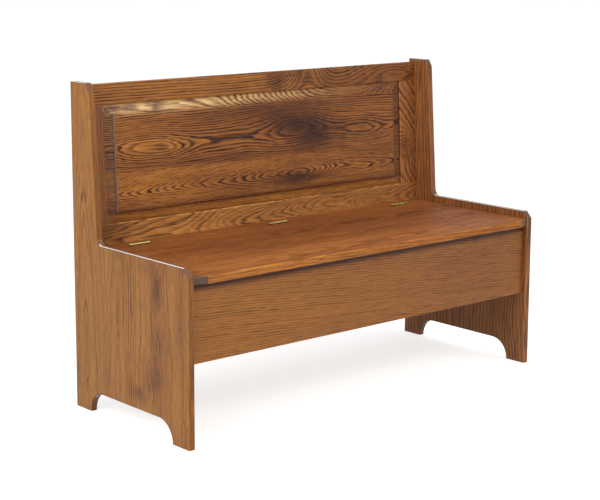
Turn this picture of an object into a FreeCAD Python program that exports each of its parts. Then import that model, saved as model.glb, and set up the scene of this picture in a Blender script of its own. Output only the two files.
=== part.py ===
import FreeCAD, Part
import math
import os

# Storage settle: a bench with a hinged seat over a box, a leaning framed back and two shaped ends.
# Millimetres. X runs along the bench, the front faces -Y, Z is up.
# The origin is on the floor, under the middle of the whole bench.

Vector = FreeCAD.Vector

# Overall sizes
bench_width = 1219.0
seat_height = 422.0

# End panels
end_thickness = 19.0
end_depth = 483.0
end_height = 845.0
arm_height = 441.0
upright_top_depth = 78.5
upright_base_depth = 104.0
upright_corner_run = 12.0
upright_corner_rise = 19.0
arm_corner_run = 17.0
arm_corner_rise = 19.0
crook_radius = 19.0
foot_length = 66.0
foot_arch_radius = 55.0
end_ease = 2.5

# Seat lid
lid_thickness = 20.0
lid_overhang = 11.0
lid_end_gap = 4.0
lid_corner_run = 30.0
lid_corner_cut = 13.0
lid_nose_top = 5.0
lid_nose_bottom = 2.5
lid_ease = 1.5

# Fixed rear strip of the seat, which the lid is hinged to
strip_reveal = 48.0
strip_lip = 3.0
seam = 1.5

# Framed back, which leans between the end panels
back_lean = 2.8
back_top = 836.0
back_thickness = 19.0
back_inset = 2.0
stile_width = 62.0
bottom_rail_width = 53.0
top_rail_width = 55.0
groove_width = 6.0
groove_depth = 8.0
groove_setback = 6.5
frame_bead = 2.0
frame_ease = 1.5
tongue_slack = 1.0

# Raised panel in the back frame
field_proud = 2.5
field_step = 4.5
field_ease = 0.8
panel_thickness = 19.0
bevel_side = 30.0
bevel_top = 26.5
rebate_slack = 2.0

# Box under the seat
apron_thickness = 19.0
apron_setback = 14.5
box_bottom = 205.0
box_back_thickness = 19.0
floor_thickness = 12.0
floor_slack = 1.0
floor_rise = 6.0
cleat_width = 19.0
cleat_height = 24.0
strip_cleat_height = 38.0
corner_block = 25.0
board_ease = 1.0

# Battens under the lid
batten_width = 45.0
batten_thickness = 16.0
batten_from_end = 196.5
batten_front_clear = 18.0
batten_rear_clear = 26.0
batten_bevel = 8.0

# Butt hinges
hinge_from_end = 118.5
hinge_length = 64.0
hinge_leaf_width = 16.0
hinge_leaf_thickness = 1.8
knuckle_count = 5
knuckle_radius = 3.2
knuckle_gap = 0.25
knuckle_lift = 0.3
pin_radius = 1.5
pin_fit = 0.05
pin_head_radius = 2.5
pin_head_height = 1.2

# Screws and dowels
hinge_screw_length = 19.0
hinge_screw_radius = 1.5
hinge_screw_head = 3.0
cleat_screw_length = 30.0
cleat_screw_radius = 2.0
cleat_screw_head = 4.0
batten_screw_length = 28.0
batten_screw_margin = 45.0
cleat_screw_margin = 40.0
long_screw_margin = 120.0
screw_fit = 0.1
dowel_radius = 4.0
dowel_in_end = 12.0
dowel_in_board = 25.0
dowel_fit = 0.05
dowel_slack = 1.0
dowel_margin = 35.0

# Places worked out from the sizes above
half_width = bench_width / 2
inner = half_width - end_thickness
total_depth = end_depth + lid_overhang
back_edge = total_depth / 2
front_edge = back_edge - end_depth
lid_front = front_edge - lid_overhang
lid_under = seat_height - lid_thickness
lean = math.radians(back_lean)
back_face_top = back_edge - back_inset - back_thickness / math.cos(lean)
back_face = back_face_top - (back_top - seat_height) * math.tan(lean)
frame_height = (back_top - seat_height) / math.cos(lean)
hinge_y = back_face - strip_reveal
hinge_z = seat_height + knuckle_radius + knuckle_lift
strip_front = hinge_y + seam / 2
lid_rear = hinge_y - seam / 2
strip_back = back_face + back_thickness / math.cos(lean) + strip_lip
box_back_front = strip_back - box_back_thickness
apron_front = front_edge + apron_setback
apron_back = apron_front + apron_thickness
floor_under = box_bottom + floor_rise + cleat_height
floor_top = floor_under + floor_thickness
seat_cleat_under = lid_under - cleat_height
lid_half = inner - lid_end_gap
outer_hinge = lid_half - hinge_from_end
outer_batten = lid_half - batten_from_end
hinge_places = (-outer_hinge, 0.0, outer_hinge)
batten_places = (-outer_batten, 0.0, outer_batten)

parts = {}


def block(x, y, z):
    """A square-edged board from its ranges in x, y and z."""
    size = (x[1] - x[0], y[1] - y[0], z[1] - z[0])
    return Part.makeBox(size[0], size[1], size[2], Vector(x[0], y[0], z[0]))


def rod(start, along, length, radius):
    """A round rod from a start point, along a direction."""
    return Part.makeCylinder(radius, length, Vector(*start), Vector(*along))


def eased(shape, radius, picks):
    """The shape with each edge that picks chooses, by its middle point, rounded over."""
    edges = [e for e in shape.Edges if picks(e.CenterOfMass)]
    return shape.makeFillet(radius, edges)


def near(a, b):
    """True where two lengths agree."""
    return abs(a - b) < 0.01


def fuse_all(shapes):
    """One shape from touching shapes, with the seams between them removed."""
    return shapes[0].multiFuse(shapes[1:]).removeSplitter()


def cut_all(shape, tools):
    """The shape with every tool cut out of it."""
    return shape.cut(Part.makeCompound(tools))


def mirrored(shape):
    """The shape's twin on the other side of the bench."""
    return shape.mirror(Vector(0, 0, 0), Vector(1, 0, 0))


def leaned(shape):
    """A back part, drawn upright from the seat line, leaned into its place."""
    placed = shape.copy()
    placed.rotate(Vector(0, 0, 0), Vector(1, 0, 0), -back_lean)
    placed.translate(Vector(0, back_face, seat_height))
    return placed


def leaned_point(x, depth, height):
    """Where a point of the upright drawing of the back comes to lie."""
    y = back_face + depth * math.cos(lean) + height * math.sin(lean)
    z = seat_height - depth * math.sin(lean) + height * math.cos(lean)
    return (x, y, z)


# Screws


def screw(head_at, along, length, shank, head):
    """A flat-headed wood screw: a coned head, a shank and a tapered point."""
    head_depth = head - shank
    point_depth = 2.5 * shank
    outline = [
        Vector(0, 0, 0),
        Vector(head, 0, 0),
        Vector(shank, 0, head_depth),
        Vector(shank, 0, length - point_depth),
        Vector(0, 0, length),
        Vector(0, 0, 0),
    ]
    body = Part.Face(Part.makePolygon(outline)).revolve(Vector(0, 0, 0), Vector(0, 0, 1), 360)
    slot = Part.makeBox(2 * head, head_depth / 2, head_depth / 2, Vector(-head, -head_depth / 4, 0))
    return placed_along(body.cut(slot), head_at, along)


def screw_hole(head_at, along, length, shank, head):
    """The countersunk hole that a screw sits in, a little wider all round."""
    head_depth = head - shank
    r = shank + screw_fit
    h = head + screw_fit
    outline = [
        Vector(0, 0, 0),
        Vector(h, 0, 0),
        Vector(r, 0, head_depth),
        Vector(r, 0, length + screw_fit),
        Vector(0, 0, length + screw_fit),
        Vector(0, 0, 0),
    ]
    hole = Part.Face(Part.makePolygon(outline)).revolve(Vector(0, 0, 0), Vector(0, 0, 1), 360)
    return placed_along(hole, head_at, along)


def placed_along(shape, at, along):
    """A shape drawn up the Z axis, turned to run along a direction from a point."""
    turn = FreeCAD.Rotation(Vector(0, 0, 1), Vector(*along))
    placed = shape.copy()
    placed.Placement = FreeCAD.Placement(Vector(*at), turn)
    return placed


def cleat_screw_set(places, along):
    """The screws and the holes for a list of head places that face one way."""
    size = (cleat_screw_length, cleat_screw_radius, cleat_screw_head)
    screws = [screw(at, along, *size) for at in places]
    holes = [screw_hole(at, along, *size) for at in places]
    return screws, holes


def spread(low, high, margin, count):
    """Evenly spaced places between two ends, kept a margin away from each."""
    step = (high - low - 2 * margin) / (count - 1)
    return [low + margin + step * i for i in range(count)]


# Dowels


def end_dowels(points):
    """Dowels from the right end panel into the boards, and the holes for them."""
    length = dowel_in_end + dowel_in_board
    pegs = []
    holes = []
    for y, z in points:
        start = (inner + dowel_in_end, y, z)
        pegs.append(rod(start, (-1, 0, 0), length, dowel_radius))
        deep = (inner + dowel_in_end + dowel_slack, y, z)
        holes.append(rod(deep, (-1, 0, 0), length + 2 * dowel_slack, dowel_radius + dowel_fit))
    return pegs, holes


frame_middle = back_thickness / 2
frame_dowel_heights = (bottom_rail_width / 2, frame_height / 2, frame_height - top_rail_width / 2)
frame_dowel_points = [leaned_point(0, frame_middle, s)[1:] for s in frame_dowel_heights]
apron_dowel_y = apron_front + apron_thickness / 2
box_back_dowel_y = box_back_front + box_back_thickness / 2
board_dowel_heights = spread(box_bottom, lid_under, dowel_margin, 2)
apron_dowel_points = [(apron_dowel_y, z) for z in board_dowel_heights]
box_back_dowel_points = [(box_back_dowel_y, z) for z in board_dowel_heights]
strip_dowel_points = [((strip_front + strip_back) / 2, seat_height - lid_thickness / 2)]

frame_pegs, frame_holes = end_dowels(frame_dowel_points)
apron_pegs, apron_holes = end_dowels(apron_dowel_points)
box_back_pegs, box_back_holes = end_dowels(box_back_dowel_points)
strip_pegs, strip_holes = end_dowels(strip_dowel_points)
right_holes = frame_holes + apron_holes + box_back_holes + strip_holes
both_holes = right_holes + [mirrored(h) for h in right_holes]


def peg_pairs(pegs):
    """The dowels of both ends, as one group of separate solids."""
    return Part.makeCompound(pegs + [mirrored(p) for p in pegs])


parts["back_frame_dowels"] = peg_pairs(frame_pegs)
parts["apron_dowels"] = peg_pairs(apron_pegs)
parts["box_back_dowels"] = peg_pairs(box_back_pegs)
parts["seat_strip_dowels"] = peg_pairs(strip_pegs)


# End panels


def end_outline():
    """The side view of an end panel as a closed wire in the plane x = 0."""
    arch = foot_arch_radius
    foot_front = front_edge + foot_length
    foot_back = back_edge - foot_length
    upright_front = back_edge - upright_base_depth
    upright_top = back_edge - upright_top_depth
    slope = (upright_top - upright_front) / (end_height - arm_height)

    def p(y, z):
        return Vector(0, y, z)

    def upright_at(z):
        return upright_front + slope * (z - arm_height)

    # The crook where the upright meets the arm is an arc that touches both lines.
    lean_angle = math.atan(slope)
    crook_reach = crook_radius * math.tan((math.pi / 2 + lean_angle) / 2)
    crook_centre = p(upright_at(arm_height) - crook_reach, arm_height + crook_radius)
    on_arm = p(crook_centre.y, arm_height)
    on_upright = crook_centre + p(crook_radius * math.cos(lean_angle), -crook_radius * math.sin(lean_angle))
    half_turn = (lean_angle + math.pi / 2) / 2
    on_arc = crook_centre + p(crook_radius * math.sin(half_turn), -crook_radius * math.cos(half_turn))

    shoulder = end_height - upright_corner_rise
    low_corner = p(upright_at(shoulder), shoulder)
    high_corner = p(upright_at(shoulder) + upright_corner_run, end_height)
    arm_low = p(front_edge, arm_height - arm_corner_rise)
    arm_high = p(front_edge + arm_corner_run, arm_height)
    bend = arch * math.sqrt(0.5)
    front_arc = Part.Arc(
        p(foot_front, 0),
        p(foot_front + arch - bend, bend),
        p(foot_front + arch, arch),
    )
    back_arc = Part.Arc(
        p(foot_back - arch, arch),
        p(foot_back - arch + bend, bend),
        p(foot_back, 0),
    )
    pieces = [
        Part.LineSegment(p(front_edge, 0), p(foot_front, 0)),
        front_arc,
        Part.LineSegment(p(foot_front + arch, arch), p(foot_back - arch, arch)),
        back_arc,
        Part.LineSegment(p(foot_back, 0), p(back_edge, 0)),
        Part.LineSegment(p(back_edge, 0), p(back_edge, end_height)),
        Part.LineSegment(p(back_edge, end_height), high_corner),
        Part.LineSegment(high_corner, low_corner),
        Part.LineSegment(low_corner, on_upright),
        Part.Arc(on_upright, on_arc, on_arm),
        Part.LineSegment(on_arm, arm_high),
        Part.LineSegment(arm_high, arm_low),
        Part.LineSegment(arm_low, p(front_edge, 0)),
    ]
    return Part.Wire([piece.toShape() for piece in pieces])


def end_panel():
    """The right end panel: its side view, made thick, with every arris rounded over."""
    board = Part.Face(end_outline()).extrude(Vector(end_thickness, 0, 0))
    board.translate(Vector(inner, 0, 0))

    def on_a_face(middle):
        return near(middle.x, inner) or near(middle.x, half_width)

    return eased(board, end_ease, on_a_face)


# Leaning back frame


def rectangle(half, depth, low, high):
    """An upright rectangle of the back's drawing, as a closed wire."""
    corners = [(-half, low), (half, low), (half, high), (-half, high), (-half, low)]
    return Part.makePolygon([Vector(x, depth, z) for x, z in corners])


opening_half = inner - stile_width
opening_low = bottom_rail_width
opening_high = frame_height - top_rail_width


def bead_cut():
    """The mitred bevel along the front edge of the frame's opening."""
    wide = rectangle(opening_half + frame_bead, 0, opening_low - frame_bead, opening_high + frame_bead)
    narrow = rectangle(opening_half, frame_bead, opening_low, opening_high)
    return Part.makeLoft([wide, narrow], True, True)


def rail(low, high):
    """A rail across the whole back, grooved along the edge that faces the panel."""
    board = block((-inner, inner), (0, back_thickness), (low, high))
    groove_low = opening_low - groove_depth
    groove_high = opening_high + groove_depth
    groove_range = (groove_setback, groove_setback + groove_width)
    groove = block((-inner, inner), groove_range, (groove_low, groove_high))
    return board.cut(groove).cut(bead_cut())


def stile():
    """The right stile, with a stub at each end and a groove for the panel."""
    depth = (groove_setback, groove_setback + groove_width)
    board = block((opening_half, inner), (0, back_thickness), (opening_low, opening_high))
    stub = block((opening_half, inner), depth, (opening_low - groove_depth, opening_high + groove_depth))
    groove = block(
        (opening_half - 1, opening_half + groove_depth),
        depth,
        (opening_low - groove_depth - 1, opening_high + groove_depth + 1),
    )
    return fuse_all([board, stub]).cut(groove).cut(bead_cut())


def raised_panel():
    """The panel: a field proud of the frame, a step, bevels down to a tongue, and a rebated back."""
    reach = groove_depth - tongue_slack
    tongue = block(
        (-opening_half - reach, opening_half + reach),
        (groove_setback, groove_setback + groove_width),
        (opening_low - reach, opening_high + reach),
    )
    field_half = opening_half - bevel_side
    field_low = opening_low + bevel_top
    field_high = opening_high - bevel_top
    foot = rectangle(opening_half, groove_setback, opening_low, opening_high)
    crest = rectangle(field_half, field_step - field_proud, field_low, field_high)
    bevels = Part.makeLoft([foot, crest], True, True)
    field = block(
        (-field_half, field_half),
        (-field_proud, groove_setback),
        (field_low, field_high),
    )
    field = eased(field, field_ease, lambda middle: near(middle.y, -field_proud))
    back = block(
        (-opening_half + rebate_slack, opening_half - rebate_slack),
        (groove_setback, panel_thickness - field_proud),
        (opening_low + rebate_slack, opening_high - rebate_slack),
    )
    return fuse_all([tongue, bevels, field, back])


# The bottom rail is sawn level, so that the leaning frame stands flat on the seat strip.
rail_allowance = 2 * back_thickness * math.tan(lean)
bottom_rail = leaned(rail(-rail_allowance, bottom_rail_width))
above_seat = block(
    (-half_width, half_width),
    (back_face - back_thickness, strip_back + back_thickness),
    (seat_height, end_height),
)
bottom_rail = bottom_rail.common(above_seat)
top_board = rail(frame_height - top_rail_width, frame_height)
top_board = eased(top_board, frame_ease, lambda middle: near(middle.x, 0) and near(middle.z, frame_height))
top_rail = leaned(top_board)
right_stile = leaned(stile())

parts["back_bottom_rail"] = cut_all(bottom_rail, both_holes)
parts["back_top_rail"] = cut_all(top_rail, both_holes)
parts["back_right_stile"] = cut_all(right_stile, right_holes)
parts["back_left_stile"] = mirrored(parts["back_right_stile"])
parts["back_raised_panel"] = leaned(raised_panel())


# Seat: the fixed rear strip, the lid and the hinges between them


def leaf(side, centre):
    """A hinge leaf on one side of the seam: +1 is the fixed leaf and -1 the lid's leaf."""
    low = centre - hinge_length / 2
    pitch = hinge_length / knuckle_count
    inside = hinge_y + side * seam / 2
    outside = inside + side * hinge_leaf_thickness
    depth = (min(inside, outside), max(inside, outside))
    plate_range = (seat_height - hinge_leaf_width, seat_height)
    pieces = [block((low, low + hinge_length), depth, plate_range)]
    first = 0 if side > 0 else 1
    for i in range(first, knuckle_count, 2):
        ends = (low + pitch * i + knuckle_gap / 2, low + pitch * (i + 1) - knuckle_gap / 2)
        pieces.append(block(ends, depth, (seat_height - knuckle_radius, hinge_z)))
        pieces.append(rod((ends[0], hinge_y, hinge_z), (1, 0, 0), ends[1] - ends[0], knuckle_radius))
    shape = fuse_all(pieces)
    bore = rod((low - 1, hinge_y, hinge_z), (1, 0, 0), hinge_length + 2, pin_radius + pin_fit)
    return shape.cut(bore)


def leaf_screw_places(side, centre):
    """The heads of a leaf's screws, which face the seam, staggered up and down the leaf."""
    face = hinge_y + side * seam / 2
    third = hinge_length / 3
    middle = seat_height - hinge_leaf_width / 2 - 1
    stagger = hinge_leaf_width / 8
    heights = (middle - stagger, middle + stagger, middle - stagger)
    return [(centre + third * (i - 1), face, heights[i]) for i in range(3)]


def hinge_pin(centre):
    """The pin through the knuckles, with a low rounded head at each end."""
    half = hinge_length / 2
    shaft = rod((centre - half, hinge_y, hinge_z), (1, 0, 0), hinge_length, pin_radius)
    heads = []
    for side in (-1, 1):
        start = (centre + side * half, hinge_y, hinge_z)
        head = rod(start, (side, 0, 0), pin_head_height, pin_head_radius)
        tip = centre + side * (half + pin_head_height)
        heads.append(eased(head, pin_head_height / 2, lambda middle: near(middle.x, tip)))
    return fuse_all([heads[0], shaft, heads[1]])


hinge_screw_size = (hinge_screw_length, hinge_screw_radius, hinge_screw_head)
fixed_screws = []
lid_screws = []
strip_cuts = []
lid_cuts = []
for number, centre in enumerate(hinge_places, start=1):
    for side, screws, cuts, name in (
        (1, fixed_screws, strip_cuts, "fixed"),
        (-1, lid_screws, lid_cuts, "lid"),
    ):
        places = leaf_screw_places(side, centre)
        along = (0, side, 0)
        screws += [screw(at, along, *hinge_screw_size) for at in places]
        holes = [screw_hole(at, along, *hinge_screw_size) for at in places]
        inside = hinge_y + side * seam / 2
        outside = inside + side * hinge_leaf_thickness
        mortise = block(
            (centre - hinge_length / 2, centre + hinge_length / 2),
            (min(inside, outside), max(inside, outside)),
            (seat_height - hinge_leaf_width, seat_height + 1),
        )
        cuts += holes + [mortise]
        parts["hinge_%d_%s_leaf" % (number, name)] = cut_all(leaf(side, centre), holes)
    parts["hinge_%d_pin" % number] = hinge_pin(centre)

parts["hinge_screws_fixed"] = Part.makeCompound(fixed_screws)
parts["hinge_screws_lid"] = Part.makeCompound(lid_screws)


def lid_board():
    """The seat lid: clipped front corners, a rounded nose and softened ends."""
    outline = [
        (-lid_half, lid_rear),
        (-lid_half, lid_front + lid_corner_cut),
        (-lid_half + lid_corner_run, lid_front),
        (lid_half - lid_corner_run, lid_front),
        (lid_half, lid_front + lid_corner_cut),
        (lid_half, lid_rear),
        (-lid_half, lid_rear),
    ]
    wire = Part.makePolygon([Vector(x, y, lid_under) for x, y in outline])
    board = Part.Face(wire).extrude(Vector(0, 0, lid_thickness))
    nose_back = lid_front + lid_corner_cut

    def nose_top(middle):
        return near(middle.z, seat_height) and middle.y < nose_back

    def nose_bottom(middle):
        return near(middle.z, lid_under) and middle.y < nose_back

    def end_tops(middle):
        return near(middle.z, seat_height) and near(abs(middle.x), lid_half)

    def rear_edges(middle):
        return near(middle.y, lid_rear) and near(middle.x, 0)

    board = eased(board, board_ease, rear_edges)
    board = eased(board, lid_nose_top, nose_top)
    board = eased(board, lid_nose_bottom, nose_bottom)
    return eased(board, lid_ease, end_tops)


# Battens across the underside of the lid
batten_range = (apron_back + batten_front_clear, hinge_y - batten_rear_clear)
batten_screw_size = (batten_screw_length, cleat_screw_radius, cleat_screw_head)


def batten(centre):
    """A batten with its two ends bevelled underneath, and its long lower edges eased."""
    low = lid_under - batten_thickness
    side = [
        (batten_range[0], lid_under),
        (batten_range[1], lid_under),
        (batten_range[1], lid_under - batten_thickness + batten_bevel),
        (batten_range[1] - batten_bevel, low),
        (batten_range[0] + batten_bevel, low),
        (batten_range[0], lid_under - batten_thickness + batten_bevel),
        (batten_range[0], lid_under),
    ]
    x = centre - batten_width / 2
    wire = Part.makePolygon([Vector(x, y, z) for y, z in side])
    board = Part.Face(wire).extrude(Vector(batten_width, 0, 0))

    def long_lower(middle):
        return near(middle.z, low) and near(abs(middle.x - centre), batten_width / 2)

    return eased(board, board_ease, long_lower)


batten_screws = []
batten_names = ("lid_batten_left", "lid_batten_middle", "lid_batten_right")
for name, centre in zip(batten_names, batten_places):
    heights = lid_under - batten_thickness
    places = [(centre, y, heights) for y in spread(batten_range[0], batten_range[1], batten_screw_margin, 3)]
    batten_screws += [screw(at, (0, 0, 1), *batten_screw_size) for at in places]
    holes = [screw_hole(at, (0, 0, 1), *batten_screw_size) for at in places]
    lid_cuts += holes
    parts[name] = cut_all(batten(centre), holes)

parts["lid_batten_screws"] = Part.makeCompound(batten_screws)
parts["seat_lid"] = cut_all(lid_board(), lid_cuts)

# Box: the cleats first, because their screws are also cut into the boards that carry them
side_cleat_range = (apron_back + cleat_width, box_back_front - cleat_width)
floor_cleat_heights = (floor_under - cleat_height, floor_under)
seat_cleat_heights = (seat_cleat_under, lid_under)
strip_cleat_range = (box_back_front - cleat_width, box_back_front)
strip_cleat_heights = (lid_under - strip_cleat_height, lid_under)



def end_cleat(heights):
    """A cleat along the right end panel, with its free lower edge eased."""
    free = inner - cleat_width
    board = block((free, inner), side_cleat_range, heights)
    return eased(board, board_ease, lambda middle: near(middle.x, free) and near(middle.z, heights[0]))


def long_cleat(depth, free, heights):
    """A cleat over the whole length, with the lower edge on its free side eased."""
    board = block((-inner, inner), depth, heights)
    return eased(board, board_ease, lambda middle: near(middle.y, free) and near(middle.z, heights[0]))


front_cleat_range = (apron_back, apron_back + cleat_width)
floor_side_cleat = end_cleat(floor_cleat_heights)
seat_side_cleat = end_cleat(seat_cleat_heights)
floor_front_cleat = long_cleat(front_cleat_range, front_cleat_range[1], floor_cleat_heights)
floor_back_cleat = long_cleat(strip_cleat_range, strip_cleat_range[0], floor_cleat_heights)
strip_cleat = long_cleat(strip_cleat_range, strip_cleat_range[0], strip_cleat_heights)

floor_cleat_middle = floor_under - cleat_height / 2
seat_cleat_middle = lid_under - cleat_height / 2
strip_cleat_middle = lid_under - strip_cleat_height / 2
side_screw_ys = spread(*side_cleat_range, cleat_screw_margin, 3)
long_screw_xs = spread(-inner, inner, long_screw_margin, 4)

side_screw_x = inner - cleat_width
floor_side_set = cleat_screw_set([(side_screw_x, y, floor_cleat_middle) for y in side_screw_ys], (1, 0, 0))
seat_side_set = cleat_screw_set([(side_screw_x, y, seat_cleat_middle) for y in side_screw_ys], (1, 0, 0))
front_set = cleat_screw_set([(x, front_cleat_range[1], floor_cleat_middle) for x in long_screw_xs], (0, -1, 0))
back_set = cleat_screw_set([(x, strip_cleat_range[0], floor_cleat_middle) for x in long_screw_xs], (0, 1, 0))
strip_set = cleat_screw_set([(x, strip_cleat_range[0], strip_cleat_middle) for x in long_screw_xs], (0, 1, 0))

right_cleat_holes = floor_side_set[1] + seat_side_set[1]
end_body = cut_all(end_panel(), right_holes + right_cleat_holes)
parts["right_end_panel"] = end_body
parts["left_end_panel"] = mirrored(end_body)

parts["floor_cleat_right"] = cut_all(floor_side_cleat, floor_side_set[1])
parts["floor_cleat_left"] = mirrored(parts["floor_cleat_right"])
parts["seat_cleat_right"] = cut_all(seat_side_cleat, seat_side_set[1])
parts["seat_cleat_left"] = mirrored(parts["seat_cleat_right"])
parts["floor_cleat_front"] = cut_all(floor_front_cleat, front_set[1])
parts["floor_cleat_back"] = cut_all(floor_back_cleat, back_set[1])
parts["seat_strip_cleat"] = cut_all(strip_cleat, strip_set[1])

side_screws = floor_side_set[0] + seat_side_set[0]
parts["side_cleat_screws"] = Part.makeCompound(side_screws + [mirrored(s) for s in side_screws])
parts["long_cleat_screws"] = Part.makeCompound(front_set[0] + back_set[0] + strip_set[0])



def box_board(depth):
    """A long upright board of the box, with its two lower edges eased."""
    board = block((-inner, inner), depth, (box_bottom, lid_under))
    return eased(board, board_ease, lambda middle: near(middle.x, 0) and near(middle.z, box_bottom))


parts["front_apron"] = cut_all(box_board((apron_front, apron_back)), both_holes + front_set[1])
box_back = box_board((box_back_front, strip_back))
parts["box_back_board"] = cut_all(box_back, both_holes + back_set[1] + strip_set[1])
strip = block((-inner, inner), (strip_front, strip_back), (lid_under, seat_height))
strip = eased(strip, board_ease, lambda middle: near(middle.x, 0) and near(middle.z, seat_height))
parts["seat_rear_strip"] = cut_all(strip, both_holes + strip_cuts)

box_floor = block(
    (-inner + floor_slack, inner - floor_slack),
    (apron_back + floor_slack, box_back_front - floor_slack),
    (floor_under, floor_top),
)
parts["box_floor"] = box_floor


def glue_block(corner_y, into, top):
    """A three-sided block that fills a corner of the box from the floor up to a cleat."""
    corners = [
        (inner, corner_y),
        (inner - corner_block, corner_y),
        (inner, corner_y + into * corner_block),
        (inner, corner_y),
    ]
    wire = Part.makePolygon([Vector(x, y, floor_top) for x, y in corners])
    return Part.Face(wire).extrude(Vector(0, 0, top - floor_top))


parts["corner_block_front_right"] = glue_block(apron_back, 1, seat_cleat_under)
parts["corner_block_back_right"] = glue_block(box_back_front, -1, lid_under - strip_cleat_height)
parts["corner_block_front_left"] = mirrored(parts["corner_block_front_right"])
parts["corner_block_back_left"] = mirrored(parts["corner_block_back_right"])


def open_limit():
    """How far the lid turns before its nose would meet the leaning back, in degrees."""
    reach = hinge_y - lid_front
    drop = hinge_z - seat_height
    gap = strip_reveal + (hinge_z - seat_height) * math.tan(lean)
    # Past upright by an angle a, the nose touches where this difference is nothing.
    low, high = 0.0, math.pi / 4
    for _ in range(60):
        a = (low + high) / 2
        nose = reach * math.sin(a) - drop * math.cos(a)
        wall = gap + (reach * math.cos(a) + drop * math.sin(a)) * math.tan(lean)
        if nose < wall:
            low = a
        else:
            high = a
    return 90 + math.degrees(low)


os.makedirs("parts", exist_ok=True)
for name, shape in sorted(parts.items()):
    shape.exportStep("parts/%s.step" % name)
    solids = shape.Solids
    print("%-28s %2d solids, valid %s, volume %.0f" % (name, len(solids), shape.isValid(), shape.Volume))

print("%d nodes" % len(parts))
print("hinge axis y %.3f z %.3f" % (hinge_y, hinge_z))
print("the lid meets the back at %.2f degrees" % open_limit())
print("back face at the seat y %.2f, at its top y %.2f" % (back_face, back_face_top))
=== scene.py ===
# %% [markdown]
# A settle bench in oak, with a brown stain
# This file dresses a imported model of a storage settle: a bench with a hinged seat over a box,
# a leaning back with one raised panel, and two shaped ends.
# The joiner's shapes come ready from the imported model, with their rounded edges and bevels.
# What is made here is what a joiner's finishing room adds: the figure of the oak,
# the brown stain, the satin lacquer and the brass of the hinges, and then the photographer's light.

# %% Load the bench
import math

import bpy
from mathutils import Matrix, Vector


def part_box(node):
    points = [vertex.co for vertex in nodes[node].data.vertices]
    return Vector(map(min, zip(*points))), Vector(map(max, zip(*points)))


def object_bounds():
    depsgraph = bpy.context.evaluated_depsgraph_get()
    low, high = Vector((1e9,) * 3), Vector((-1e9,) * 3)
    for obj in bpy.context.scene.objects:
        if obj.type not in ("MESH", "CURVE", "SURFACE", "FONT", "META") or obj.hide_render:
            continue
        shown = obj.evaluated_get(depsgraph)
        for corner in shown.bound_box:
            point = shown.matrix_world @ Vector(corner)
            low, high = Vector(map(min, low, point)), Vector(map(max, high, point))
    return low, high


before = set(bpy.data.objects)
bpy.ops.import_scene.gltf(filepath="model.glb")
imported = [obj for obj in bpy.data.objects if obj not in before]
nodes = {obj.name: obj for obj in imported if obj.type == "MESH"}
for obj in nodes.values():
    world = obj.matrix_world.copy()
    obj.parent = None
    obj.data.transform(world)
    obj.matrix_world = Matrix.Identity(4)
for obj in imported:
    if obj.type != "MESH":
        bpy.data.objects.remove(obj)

cad_low, cad_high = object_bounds()
print("nodes:", len(nodes), "size in metres:", tuple(round(n, 4) for n in cad_high - cad_low))

# %% [markdown]
# ## The camera
# The bench is seen from its left front, from a little above the top of its back.
# A long lens keeps the uprights nearly parallel.
# A camera can be placed by eye, by an empty that it tracks, or by angles that were fitted to
# corners of the bench. Angles are used here, because they are easy to read and to change.
# The small downward shift holds the uprights straighter than tilting the camera further would.

# %% Place the camera
CAMERA_PLACE = Vector((-2.7356, -3.0696, 1.2094))
CAMERA_TURN = math.radians(41.109)
CAMERA_DIP = math.radians(10.188)
CAMERA_ROLL = math.radians(0.254)
LENS_MM = 93.256
SENSOR_MM = 36.0
SHIFT_DOWN = -0.06

ahead = Vector((
    math.sin(CAMERA_TURN) * math.cos(CAMERA_DIP),
    math.cos(CAMERA_TURN) * math.cos(CAMERA_DIP),
    -math.sin(CAMERA_DIP),
))
level_right = ahead.cross(Vector((0, 0, 1))).normalized()
level_up = level_right.cross(ahead)
right = level_right * math.cos(CAMERA_ROLL) + level_up * math.sin(CAMERA_ROLL)
up = level_up * math.cos(CAMERA_ROLL) - level_right * math.sin(CAMERA_ROLL)

lens = bpy.data.cameras.new("studio_camera")
lens.lens = LENS_MM
lens.sensor_width = SENSOR_MM
lens.shift_y = SHIFT_DOWN
camera = bpy.data.objects.new("studio_camera", lens)
camera.matrix_world = Matrix.Translation(CAMERA_PLACE) @ Matrix((right, up, -ahead)).transposed().to_4x4()
bpy.context.scene.collection.objects.link(camera)
bpy.context.scene.camera = camera
bpy.context.scene.view_settings.view_transform = "Standard"
print("camera", round(CAMERA_PLACE.length, 2), "m from the middle of the floor under the bench")

# %% [markdown]
# ## One helper for every material
# A procedural material is a small network of nodes. Each node is added in the same way:
# make it, give it its settings, and feed its sockets with a number or with another node.
# One function does just that, so each finish below reads as a list of what happens to the surface.
# A socket is given by its name, or by its number where a node has several of one name:
# a Mix node blends numbers on sockets 2 and 3, vectors on 4 and 5, and colours on 6 and 7.

# %% A colour and a node
def linear(code):
    """A colour written as sRGB hex, as the linear numbers that shaders use."""
    parts = [int(code[i:i + 2], 16) / 255 for i in (1, 3, 5)]
    return [c / 12.92 if c <= 0.04045 else ((c + 0.055) / 1.055) ** 2.4 for c in parts] + [1.0]


def add(tree, kind, feeds=None, **settings):
    """Add a node with its settings, and feed its sockets with values, sockets or nodes."""
    made = tree.nodes.new(kind)
    for name, value in settings.items():
        setattr(made, name, value)
    for socket, feed in (feeds or {}).items():
        source = feed.outputs[0] if isinstance(feed, bpy.types.Node) else feed
        if isinstance(source, bpy.types.NodeSocket):
            tree.links.new(source, made.inputs[socket])
        else:
            made.inputs[socket].default_value = source
    return made


print("brown stain is", [round(c, 3) for c in linear("#96643e")[:3]])

# %% Sizes of patterns
MM = 0.001
MIDDLE = (0.5, 0.5, 0.5)        # the middle of a noise's colour, taken off so that it pushes both ways


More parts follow.
